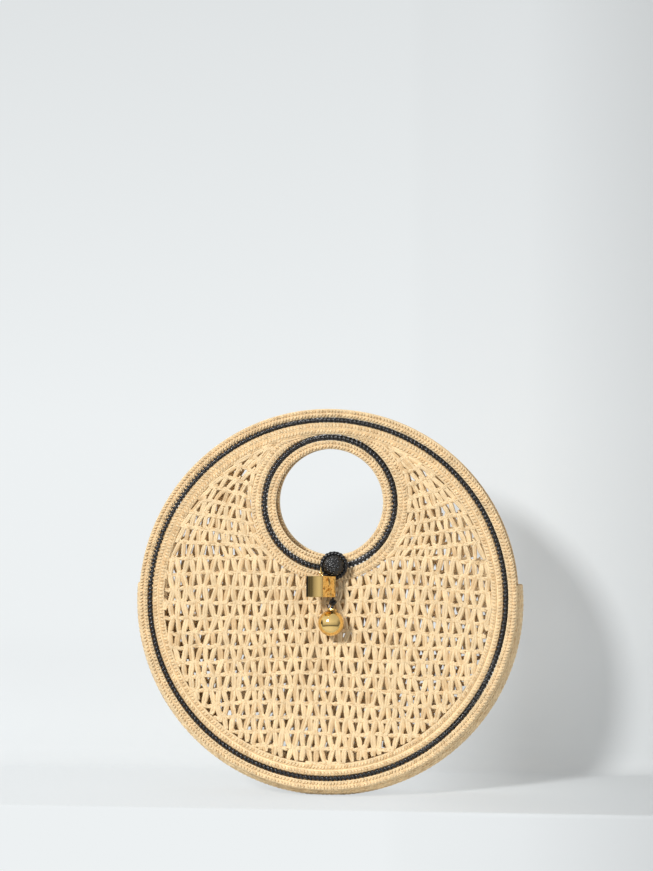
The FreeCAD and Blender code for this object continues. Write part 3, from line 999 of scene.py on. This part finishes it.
class Gusset:
    """Crowned strip between the discs: angle runs from straight down, across from -1 to 1."""

    def __init__(self):
        panel = PANELS["back"]
        self.hinge = panel.hinge
        self.seat = panel.rim - GUSSET_INSET
        self.middle = self.hinge.z + self.seat
        self.lean = math.atan2(panel.out.z, panel.out.y)
        self.half = self.hinge.y - SEAM_GAP

    def point(self, angle, across, lift):
        height = self.middle - self.seat * math.cos(angle)
        half = self.half - (height - self.hinge.z) * math.tan(self.lean)
        bulge = GUSSET_BULGE * half
        crown = (half ** 2 + bulge ** 2) / (2 * bulge)
        turn = across * math.asin(half / crown)
        radius = self.seat + bulge - crown + (crown + lift) * math.cos(turn)
        z = self.middle - radius * math.cos(angle)
        return Vector((radius * math.sin(angle), (crown + lift) * math.sin(turn), max(0.0, z)))

    def track(self, across, half_row, lift):
        """Middle line of one row along the strip."""
        def at(share):
            angle = GUSSET_END * (2 * share - 1)
            place = self.point(angle, across, lift)
            side = self.point(angle, across + half_row, lift) - place
            outward = Vector((math.sin(angle), 0, -math.cos(angle)))
            outward = (outward - side.normalized() * outward.dot(side.normalized())).normalized()
            return place, side.normalized(), outward, side.length
        return Track(at, False)


def above_ground(points):
    """Points of a strand, lifted to rest on the ground where they would sink."""
    return [(Vector((place.x, place.y, max(radius, place.z))), radius) for place, radius in points]


def gusset_sheet(gusset, name, side):
    """Closed strip under the rows of one half of the gusset, in the deep raffia, so that the gaps between the stitches
    show darker as painted shade.
    """
    work = bmesh.new()
    bmesh.ops.create_grid(work, x_segments=96, y_segments=8, size=1.0)
    for vert in work.verts:
        vert.co = gusset.point(GUSSET_END * vert.co.x, side * (vert.co.y + 1) / 2, -GUSSET_SHEET_DEPTH)
    turn_to(work, min(work.faces, key=lambda face: face.calc_center_median().z), (0, 0, -1))
    bmesh.ops.solidify(work, geom=work.faces[:], thickness=GUSSET_SHEET_THICKNESS)
    bmesh.ops.recalc_face_normals(work, faces=work.faces)
    return from_bmesh(name, work, "raffia_deep")


class BAG_OT_gusset(bpy.types.Operator):
    """Lengthwise rows of the gusset, in a front and a back half"""

    bl_idname = "bag.gusset"
    bl_label = "Gusset"

    def execute(self, context):
        gusset = Gusset()
        rows = context.scene.bag_yarn.gusset_rows
        for side, panel in ((-1, PANELS["front"]), (1, PANELS["back"])):
            rng = random.Random(panel.seed + SEEDS["gusset"])
            strands = []
            for row in range(rows):
                track = gusset.track(side * (row + 0.5) / rows, 0.5 / rows, -GUSSET_ROW_DEPTH)
                strands += stitches(track, rng, GUSSET_ROW_THICKNESS, **GUSSET_STITCHES)
            strands = [(above_ground(points), closed) for points, closed in strands]
            for piece in (yarn(panel.side + "_gusset_rows", strands, "raffia"),
                          gusset_sheet(gusset, panel.side + "_gusset_sheet", side)):
                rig.blend(piece, "gusset", panel.body, start=panel.hinge - panel.out * 16 * MM, end=panel.hinge)
                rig.slot(piece, "raffia")
                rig.replaces(piece, "gusset")
        return {"FINISHED"}


# Button

# Ball's cover: turns of the coil under it, its stitches, their half width and half length
COVER_COIL_TURNS = 13
COVER_STITCHES = 84
COVER_HALF_WIDTH = 1.5 * MM
COVER_HALF_LENGTH = 1.7 * MM
COVER_COIL_DEPTH = 0.7 * MM

# Backing's coil
BACKING_TURNS = 4
BACKING_HALF_ROPE = 1 * MM


def spiral_track(centre, radius, out, rows, half):
    """Line that winds round a ball from its face to its back."""
    side = Vector((1, 0, 0))
    up = out.cross(side).normalized()

    def at(share):
        tilt = math.pi * (0.02 + 0.95 * min(1.0, max(0.0, share)))
        turn = FULL_TURN * rows * share
        round_it = side * math.cos(turn) + up * math.sin(turn)
        away = out * math.cos(tilt) + round_it * math.sin(tilt)
        along = round_it * math.cos(tilt) - out * math.sin(tilt)
        return centre + away * radius, along, away, half
    return Track(at, False)


class BAG_OT_button(bpy.types.Operator):
    """Crocheted ball button with its rope, backing and shank"""

    bl_idname = "bag.button"
    bl_label = "Ball button"

    def execute(self, context):
        panel = PANELS["front"]
        rng = random.Random(SEEDS["button"])
        self.cover(panel, rng)
        self.rope_ring(panel, rng)
        self.backing(panel, rng)
        paint("button_core", "turned_bead")
        paint("button_shank", "black_cord")
        paint("cube_picot", "black_cord")
        return {"FINISHED"}

    def cover(self, panel, rng):
        """Small stitches spread over the ball, on a coil that fills the gaps between them."""
        centre = middle_of("button_cover")
        radius = half_width_of("button_cover") - COVER_HALF_WIDTH
        track = spiral_track(centre, radius - COVER_COIL_DEPTH, panel.out, COVER_COIL_TURNS, COVER_HALF_WIDTH)
        strands = core(track, 40 * COVER_COIL_TURNS, 0.95)
        for stitch in range(COVER_STITCHES):
            tilt = math.acos(1 - 1.95 * (stitch + 0.5) / COVER_STITCHES)
            turn = stitch * GOLDEN_TURN
            away = panel.out * math.cos(tilt) + panel.away(turn) * math.sin(tilt)
            way = away.cross(panel.away(turn + rng.uniform(-0.9, 0.9))).normalized()

            def at(share):
                part = 2 * share - 1
                place = (away * radius + way * COVER_HALF_LENGTH * part).normalized()
                return centre + place * (radius - 0.6 * MM * part ** 2), COVER_HALF_WIDTH * (1 - 0.45 * part ** 2)
            strands.append(strand(at, 4))
        put(yarn("button_cover_stitches", strands, "black_cord"), panel.body, "cord_black", "button_cover")

    def rope_ring(self, panel, rng):
        x, up, lift = panel.local(middle_of("button_rope"))
        ring = half_width_of("button_rope") - ROPE_RADIUS + 0.4 * MM
        track = ring_track(panel, x, up, ring, ROPE_RADIUS + 0.7 * MM, lift)
        strands = rope(track, 11, 2, 1.25 * MM, rng, steps=10, loose=0.03) + core(track, 60, 0.5)
        put(yarn("button_rope_plies", strands, "black_raffia"), panel.body, "cord_black", "button_rope")

    def backing(self, panel, rng):
        centre = panel.point(*panel.local(middle_of("button_backing")))
        reach = half_width_of("button_backing") - BACKING_HALF_ROPE

        def at(share):
            away = panel.away(FULL_TURN * BACKING_TURNS * share)
            return centre + away * reach * share, away, panel.out, BACKING_HALF_ROPE
        coil = rope(Track(at, False), 20, 2, 0.8 * MM, rng)
        put(yarn("button_backing_coil", coil, "black_cord"), panel.body, "cord_black", "button_backing")


# Cube charm

CUBE_BEVEL = 0.4 * MM
CUBE_CUTS = 24
CUBE_CROWN = 0.4 * MM
DENT_COUNT = 60
DENT_LIMIT = 0.5 * MM
DENT_MARGIN = 0.6 * MM


def dents(rng, count, reach):
    """Random dents as their two places on a side, width and depth."""
    return [(rng.uniform(-reach, reach), rng.uniform(-reach, reach), rng.uniform(1.3, 2.4) * MM,
             rng.uniform(0.15, 0.4) * MM) for _ in range(count)]


class BAG_OT_cube(bpy.types.Operator):
    """Gold cube with polished and hammered sides, its eye pin and its jump ring"""

    bl_idname = "bag.cube"
    bl_label = "Cube charm"

    def execute(self, context):
        panel = PANELS["front"]
        work = bmesh.new()
        bmesh.ops.create_cube(work, size=CUBE_SIDE)
        bmesh.ops.bevel(work, geom=work.edges[:], offset=CUBE_BEVEL, offset_type="OFFSET", segments=2, profile=0.5,
                        affect="EDGES", material=-1)
        broad = [face for face in work.faces if face.calc_area() > (CUBE_SIDE / 2) ** 2]
        for face in broad:
            face.material_index = 1 if abs(face.normal.x) > 0.9 else 0
        edges = list({edge for face in broad for edge in face.edges})
        bmesh.ops.subdivide_edges(work, edges=edges, cuts=CUBE_CUTS, use_grid_fill=True)
        self.hammer(work)
        turn = Matrix.Rotation(CUBE_TURN, 4, "Z")
        stand = Matrix((Vector((1, 0, 0)), -panel.out, panel.up)).transposed().to_4x4()
        place = Matrix.Translation(middle_of("cube_charm")) @ stand @ turn
        bmesh.ops.transform(work, matrix=place, verts=work.verts)
        bmesh.ops.recalc_face_normals(work, faces=work.faces)
        # The polished sides take gold with a painted reflection, the hammered sides the hammered gold
        put(from_bmesh("cube_faces", work, "banded_gold", "hammered_gold"), "cube", "gold", "cube_charm")
        for node in ("cube_eye", "cube_jump_ring"):
            paint(node, "polished_gold")
        return {"FINISHED"}

    def hammer(self, work):
        """Dents in the two hammered sides, a slight crown on the two polished ones, and the shade value across each
        polished side that places its painted reflection.
        """
        half = CUBE_SIDE / 2
        face = half - 0.02 * MM
        marks = dents(random.Random(SEEDS["cube"]), DENT_COUNT, half)
        shade = work.verts.layers.float.new("shade")
        for vert in work.verts:
            x, y, z = vert.co
            # Painted reflection: a value from one side edge of each polished side to the other, which the gold's
            # painted bands follow
            vert[shade] = (1 - x / half * math.copysign(1, y)) / 2
            if abs(x) > face and max(abs(y), abs(z)) < half - DENT_MARGIN:
                depth = sum(deep * math.exp(-((y - my) ** 2 + (z - mz) ** 2) / wide ** 2)
                            for my, mz, wide, deep in marks)
                vert.co.x -= math.copysign(min(DENT_LIMIT, depth), x)
            elif abs(y) > face:
                vert.co.y -= math.copysign(CUBE_CROWN * (x / half) ** 2, y)


# Ball charm

CORD_RADIUS = 1.3 * MM
CORD_HOLE = 1.6 * MM
HANGER_HALF_ROPE = 0.95 * MM
HANGER_PLY = 0.55 * MM


def knot_strand(centre, axis, reach, radius):
    """Closed over-and-under line of a small knot round a cord."""
    side = axis.orthogonal().normalized()
    other = axis.cross(side)

    def at(share):
        turn = FULL_TURN * share
        wide = reach * (0.62 + 0.3 * math.cos(3 * turn))
        place = centre + (side * math.cos(2 * turn) + other * math.sin(2 * turn)) * wide
        return place + axis * reach * 0.62 * math.sin(3 * turn), radius
    return [strand(at, 40, True)]


def cord_curve(name, places, radius):
    """Smooth round cord as a curve object."""
    data = round_curve(name, radius, 3, "black_cord")
    data.resolution_u = 8
    spline = data.splines.new("NURBS")
    spline.points.add(len(places) - 1)
    for point, place in zip(spline.points, places):
        point.co = (*place, 1)
    spline.order_u = 3
    spline.use_endpoint_u = True
    return link(name, data)


class BAG_OT_ball(bpy.types.Operator):
    """Gold ball on its knotted cord"""

    bl_idname = "bag.ball"
    bl_label = "Ball charm"

    def execute(self, context):
        pivot = Vector(JOINTS["ball_lift"]["pos_m"])
        ball = middle_of("ball_charm")
        radius = half_width_of("ball_charm")
        down = (ball - pivot).normalized()
        self.gold_ball(ball, radius, down)
        paint("ball_cap", "hammered_gold")
        self.cord(pivot, ball, radius, down)
        self.hanger(PANELS["front"], pivot, down)
        return {"FINISHED"}

    def gold_ball(self, ball, radius, down):
        """Hollow ball with a rolled edge round the cord's hole."""
        work = bmesh.new()
        steps = 40
        start = math.asin(CORD_HOLE / radius)
        chain = [work.verts.new((CORD_HOLE * 0.95, 0, radius - 1.1 * MM))]
        for step in range(steps + 1):
            turn = start + (math.pi - start) * step / steps
            chain.append(work.verts.new((radius * math.sin(turn), 0, radius * math.cos(turn))))
        edges = [work.edges.new(pair) for pair in zip(chain, chain[1:])]
        bmesh.ops.spin(work, geom=chain + edges, cent=(0, 0, 0), axis=(0, 0, 1), angle=FULL_TURN, steps=56,
                       use_merge=True)
        bmesh.ops.remove_doubles(work, verts=work.verts, dist=0.01 * MM)
        bmesh.ops.recalc_face_normals(work, faces=work.faces)
        turn = (-down).to_track_quat("Z", "Y").to_matrix().to_4x4()
        bmesh.ops.transform(work, matrix=Matrix.Translation(ball) @ turn, verts=work.verts)
        put(from_bmesh("gold_ball", work, "polished_gold"), "ball", "gold", "ball_charm")

    def cord(self, pivot, ball, radius, down):
        """The cord from the hanger's knot into the ball, with its two knots."""
        top = pivot + down * 2.3 * MM
        end = ball - down * (radius - 3.4 * MM)
        cord = cord_curve("ball_cord_line", [top.lerp(end, i / 4) for i in range(5)], CORD_RADIUS)
        put(cord, "ball", "cord_black", "ball_cord")
        knots = []
        for node, reach, thread in (("ball_knot", 2.8 * MM, 1.3 * MM), ("ball_end_knot", 1.9 * MM, 0.8 * MM)):
            turns = yarn(node + "_turns", knot_strand(middle_of(node), down, reach, thread), "black_cord")
            knots.append(put(turns, "ball", "cord_black", node))
        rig.cord(cord, exit=top, length=(end - top).length, diameter=2 * CORD_RADIUS, far_end="knot",
                stiffness="limp", lay="hanging", with_pieces=[*knots, "gold_ball", "ball_cap"])

    def hanger(self, panel, pivot, down):
        """Loop round the button's neck, with its tail and knot."""
        rng = random.Random(SEEDS["hanger"])
        x, up, lift = panel.local(Vector(JOINTS["ball_sway"]["pos_m"]))
        ring = ring_track(panel, x, up, 2.5 * MM, HANGER_HALF_ROPE, lift)
        tail = line_track(panel.point(x, up - 2.4 * MM, lift), pivot, Vector((1, 0, 0)), panel.out, HANGER_HALF_ROPE)
        strands = rope(ring, 5, 2, HANGER_PLY, rng) + rope(tail, 4, 2, HANGER_PLY, rng)
        strands += knot_strand(pivot, down, 1.7 * MM, HANGER_PLY)
        put(yarn("ball_hanger_loop", strands, "black_cord"), "ball_hanger", "cord_black", "ball_hanger")


# Closure loop

WRAP_COUNT = 5
WRAP_RADIUS = 0.9 * MM
WRAP_DEPTH = 1.1 * MM


class BAG_OT_loop(bpy.types.Operator):
    """Closure loop that hangs inside, and its stitched anchor"""

    bl_idname = "bag.loop"
    bl_label = "Closure loop"

    def execute(self, context):
        panel = PANELS["back"]
        lift = panel.local(Vector(JOINTS["loop_swing"]["pos_m"]))[2]
        bottom = panel.handle.y - panel.hole
        places = [panel.point(panel.handle.x + x * MM, bottom + up * MM, lift) for x, up in LOOP_ROUTE]
        loop = put(cord_curve("closure_loop_line", places, LOOP_RADIUS), "closure_loop", "cord_black", "closure_loop")
        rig.cord(loop, exit=places[0], length=LOOP_LENGTH, diameter=2 * LOOP_RADIUS, far_end="object",
                stiffness="limp", lay="hanging")
        self.anchor(panel)
        return {"FINISHED"}

    def anchor(self, panel):
        """Wraps of yarn over the two ends of the loop."""
        low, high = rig.box("loop_anchor")
        middle = middle_of("loop_anchor")
        half = Vector(((high.x - low.x) / 2 - WRAP_RADIUS, 0, 0))
        tall = ((high.z - low.z) / 2 - WRAP_RADIUS) * 0.9

        def wrap(place):
            def at(share):
                turn = FULL_TURN * share
                away = panel.up * tall * math.cos(turn) + panel.out * WRAP_DEPTH * math.sin(turn)
                return place + away, WRAP_RADIUS
            return strand(at, 12, True)
        wraps = [wrap(middle + half * (2 * i / (WRAP_COUNT - 1) - 1)) for i in range(WRAP_COUNT)]
        put(yarn("loop_anchor_wraps", wraps, "black_cord"), panel.body, "cord_black", "loop_anchor")


# Stage

WALL_TOP = 2.6
APRON_BOTTOM = -0.6
SHELF_LENGTH = 4.0
WALL_BEND = 0.02
SHELF_NOSE = 0.004

# Tones of the room that shining pieces show, along two axes
ROOM_TONES = {
    "X": [(0.0, 0.04), (0.014, 0.22), (0.027, 0.5), (0.042, 1.0), (0.5, 1.0), (0.92, 0.75), (1.0, 0.3)],
    "Z": [(0.0, 1.0), (0.28, 1.0), (0.31, 0.08), (0.34, 0.08), (0.38, 0.5), (0.5, 0.8), (0.65, 1.0), (1.0, 0.75)],
}


def area_light(name, place, target, size, power):
    data = bpy.data.lights.new(name, "AREA")
    data.shape = "DISK"
    data.size = size
    data.energy = power
    light = link(name, data)
    light.location = place
    light.rotation_euler = (Vector(target) - Vector(place)).to_track_quat("-Z", "Y").to_euler()
    return light


def quarter(steps):
    """Cosine and sine of even turns from 0 to a quarter."""
    turns = [math.pi / 2 * step / steps for step in range(steps + 1)]
    return [(math.cos(turn), math.sin(turn)) for turn in turns]


class BAG_OT_stage(bpy.types.Operator):
    """Pale shelf and wall, a soft key light from the left and the camera"""

    bl_idname = "bag.stage"
    bl_label = "Stage"

    def execute(self, context):
        scene = context.scene
        self.shelf(scene.bag_stage)
        middle = (CAD_BOX[0] + CAD_BOX[1]) / 2
        area_light("key", (-2.0, -4.2, 2.35), middle, size=0.8, power=243)
        area_light("fill", (2.3, -1.4, 0.9), middle, size=2.4, power=26).visible_glossy = False
        scene.world = self.room(scene.bag_finish.paper)
        self.camera(scene, scene.bag_stage)
        scene.view_settings.view_transform = "Standard"
        return {"FINISHED"}

    def shelf(self, settings):
        """Wall and shelf in one sheet, with the shelf's front edge."""
        work = bmesh.new()
        wall, edge = settings.wall, -settings.shelf_edge
        profile = [(wall, WALL_TOP)]
        profile += [(wall - WALL_BEND + WALL_BEND * cos, WALL_BEND - WALL_BEND * sin) for cos, sin in quarter(6)]
        profile += [(edge + SHELF_NOSE - SHELF_NOSE * sin, -SHELF_NOSE + SHELF_NOSE * cos) for cos, sin in quarter(4)]
        profile.append((edge, APRON_BOTTOM))
        line = [work.verts.new((-SHELF_LENGTH / 2, y, z)) for y, z in profile]
        edges = [work.edges.new(pair) for pair in zip(line, line[1:])]
        made = bmesh.ops.extrude_edge_only(work, edges=edges)
        moved = [item for item in made["geom"] if isinstance(item, bmesh.types.BMVert)]
        bmesh.ops.translate(work, vec=(SHELF_LENGTH, 0, 0), verts=moved)
        turn_to(work, max(work.faces, key=lambda face: face.calc_center_median().z), (0, -1, 0))
        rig.stage(from_bmesh("shelf", work, "pale_paper"))

    def room(self, paper):
        """World with an even light for what is matt, darker ends for what shines and a pale ground for the camera."""
        world = bpy.data.worlds.new("room")
        world.use_nodes = True
        tree = world.node_tree
        even = feed(tree, tree.nodes["Background"], Color=(0.97, 0.98, 1.0, 1), Strength=0.26)
        axes = add(tree, "SeparateXYZ", Vector=add(tree, "TexCoord").outputs["Generated"])
        tones = [grey_ramp(tree, ranged(tree, axes.outputs[axis], From_Min=-1.0, From_Max=1.0), stops)
                 for axis, stops in ROOM_TONES.items()]
        shine = add(tree, "Background", Color=multiplied(tree, *tones))
        ground = add(tree, "Background", Color=(*paper, 1))
        lit = mixed(tree, seen_directly(tree), even.outputs["Background"], shine.outputs["Background"])
        seen = add(tree, "LightPath").outputs["Is Camera Ray"]
        feed(tree, tree.nodes["World Output"], Surface=mixed(tree, seen, lit, ground.outputs["Background"]))
        return world

    def camera(self, scene, settings):
        middle = Vector((0, 0, (CAD_BOX[0].z + CAD_BOX[1].z) / 2))
        right = Vector((math.cos(settings.azimuth), math.sin(settings.azimuth), 0))
        back = Vector((math.sin(settings.azimuth), -math.cos(settings.azimuth), 0))
        aside = (PHOTO_WIDTH / 2 - settings.aim_column) * settings.pixel_size
        above = (settings.aim_row - PHOTO_HEIGHT / 2) * settings.pixel_size
        data = bpy.data.cameras.new("camera")
        data.sensor_width = 36.0
        data.lens = data.sensor_width * settings.distance / (PHOTO_HEIGHT * settings.pixel_size)
        camera = link("camera", data)
        camera.location = middle + back * settings.distance + right * aside + Vector((0, 0, above))
        camera.rotation_euler = (-back).to_track_quat("-Z", "Y").to_euler()
        scene.camera = camera


class BAG_PT_panel(bpy.types.Panel):
    """Buttons and sizes of the bag"""

    bl_idname = "BAG_PT_panel"
    bl_label = "Crocheted bag"
    bl_space_type = "VIEW_3D"
    bl_region_type = "UI"
    bl_category = "Bag"

    def draw(self, context):
        for operator in OPERATORS:
            self.layout.operator(operator.bl_idname)
        for name in SETTINGS:
            group = getattr(context.scene, name)
            for prop in group.bl_rna.properties:
                if prop.identifier not in ("rna_type", "name"):
                    self.layout.prop(group, prop.identifier)


SETTINGS = {"bag_yarn": BagYarnSettings, "bag_finish": BagFinishSettings, "bag_stage": BagStageSettings}
OPERATORS = (BAG_OT_stage, BAG_OT_loop, BAG_OT_ball, BAG_OT_cube, BAG_OT_button, BAG_OT_rows, BAG_OT_nets,
             BAG_OT_gusset)
CLASSES = (*SETTINGS.values(), *OPERATORS, BAG_PT_panel)


def register():
    for made in CLASSES:
        bpy.utils.register_class(made)
    for name, group in SETTINGS.items():
        setattr(bpy.types.Scene, name, PointerProperty(type=group))


def unregister():
    for name in SETTINGS:
        delattr(bpy.types.Scene, name)
    for made in reversed(CLASSES):
        bpy.utils.unregister_class(made)


def main():
    register()
    for operator in OPERATORS:
        getattr(bpy.ops.bag, operator.bl_idname.split(".")[1])()
    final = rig.bounds()
    with open(SIZE_FILE, "w") as out:
        json.dump({"cad": [list(corner) for corner in CAD_BOX], "final": [list(corner) for corner in final]}, out)


if __name__ == "__main__":
    main()
